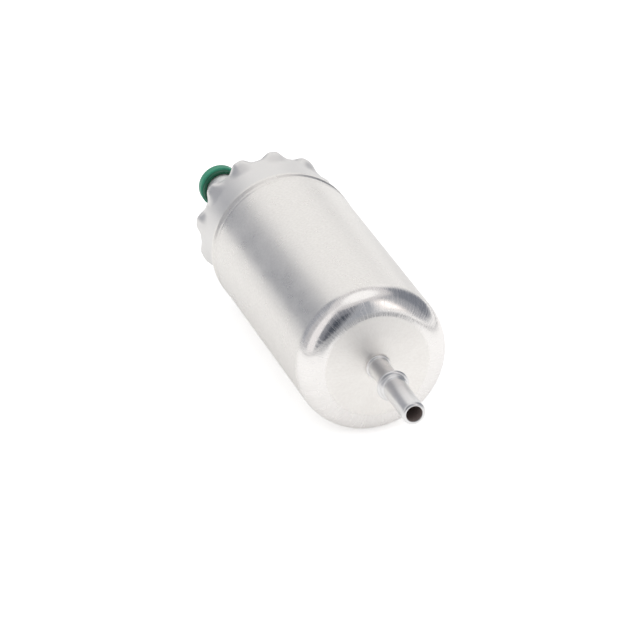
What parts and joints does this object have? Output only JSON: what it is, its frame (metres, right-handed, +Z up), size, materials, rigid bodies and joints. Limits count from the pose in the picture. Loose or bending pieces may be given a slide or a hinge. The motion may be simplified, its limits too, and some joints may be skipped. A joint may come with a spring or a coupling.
{
  "type": "electric fuel pump",
  "caption": "In-line electric fuel pump: drawn can with a central suction nipple, lobed rear cover with a capped pressure stub and a plug socket.",
  "frame": {"origin": "on the pump axis, halfway along the straight part of the can, where its clamp sits", "axes": "+Y along the pump axis towards the rear cover, so the suction nipple points to -Y; +Z up as the pump lies in the picture"},
  "size_m": [0.0524, 0.1763, 0.0524],
  "materials": {
    "can_metal": "satin",
    "cast_metal": "fine cast",
    "nipple_metal": "turned",
    "plate_metal": "machined",
    "gear_steel": "ground",
    "screw_steel": "zinc plated",
    "core_steel": "laminated",
    "bronze": "sintered",
    "copper": "enamelled wire",
    "tab_metal": "tinned",
    "ferrite": "matt",
    "carbon": "pressed carbon",
    "holder_plastic": "moulded",
    "seal_rubber": "moulded",
    "cap_plastic": "moulded"
  },
  "bodies": {
    "housing": {"can": "can_metal", "end_cover": "cast_metal", "suction_nipple": "nipple_metal", "inlet_plate": "plate_metal", "base_plate": "plate_metal", "pressure_stub": "plate_metal", "stage_ring": "gear_steel", "stage_screws": "screw_steel", "relief_spring": "screw_steel", "brush_spring_left": "screw_steel", "brush_spring_right": "screw_steel", "valve_spring": "screw_steel", "magnet_clips": "screw_steel", "inlet_strainer": "screw_steel", "flux_ring": "core_steel", "front_bush": "bronze", "rear_bush": "bronze", "relief_plug": "bronze", "valve_seat": "bronze", "choke_coils": "copper", "terminal_tabs": "tab_metal", "magnets": "ferrite", "choke_cores": "ferrite", "brush_holder": "holder_plastic", "connector_shroud": "holder_plastic", "nipple_seal": "seal_rubber", "cover_oring": "seal_rubber", "port_seal": "seal_rubber"},
    "rotor": {"shaft": "gear_steel", "drive_key": "bronze", "inner_gear": "gear_steel", "armature_core": "core_steel", "windings": "copper", "commutator_hub": "holder_plastic", "commutator_bars": "copper", "thrust_washers": "bronze"},
    "outer_gear": {"outer_gear": "gear_steel"},
    "left_brush": {"brush_left": "carbon"},
    "right_brush": {"brush_right": "carbon"},
    "check_ball": {"valve_ball": "screw_steel"},
    "relief_ball": {"relief_ball": "screw_steel"},
    "cap": {"port_cap": "cap_plastic"}
  },
  "joints": [
    {"name": "rotor_spin", "type": "hinge", "parent": "housing", "child": "rotor", "pos_m": [0, 0, 0], "axis": [0, 1, 0], "continuous": true},
    {"name": "outer_gear_spin", "type": "hinge", "parent": "housing", "child": "outer_gear", "pos_m": [0.0015, -0.035, 0], "axis": [0, 1, 0], "continuous": true},
    {"name": "left_brush_slide", "type": "slide", "parent": "housing", "child": "left_brush", "axis": [-1, 0, 0], "range_m": [0, 0.002], "stiffness_N_per_m": 200, "springref_m": -0.004, "deforming": ["brush_spring_left"]},
    {"name": "right_brush_slide", "type": "slide", "parent": "housing", "child": "right_brush", "axis": [1, 0, 0], "range_m": [0, 0.002], "stiffness_N_per_m": 200, "springref_m": -0.004, "deforming": ["brush_spring_right"]},
    {"name": "check_ball_lift", "type": "slide", "parent": "housing", "child": "check_ball", "axis": [0, 1, 0], "range_m": [0, 0.0015], "stiffness_N_per_m": 150, "springref_m": -0.002, "deforming": ["valve_spring"]},
    {"name": "relief_ball_lift", "type": "slide", "parent": "housing", "child": "relief_ball", "axis": [0, -1, 0], "range_m": [0, 0.0015], "stiffness_N_per_m": 1200, "springref_m": -0.003, "deforming": ["relief_spring"]},
    {"name": "cap_pull", "type": "slide", "parent": "housing", "child": "cap", "axis": [0, 1, 0], "range_m": [0, 0.03]}
  ],
  "couplings": [
    {"joint": "outer_gear_spin", "follows": "rotor_spin", "ratio": 0.85714}
  ]
}
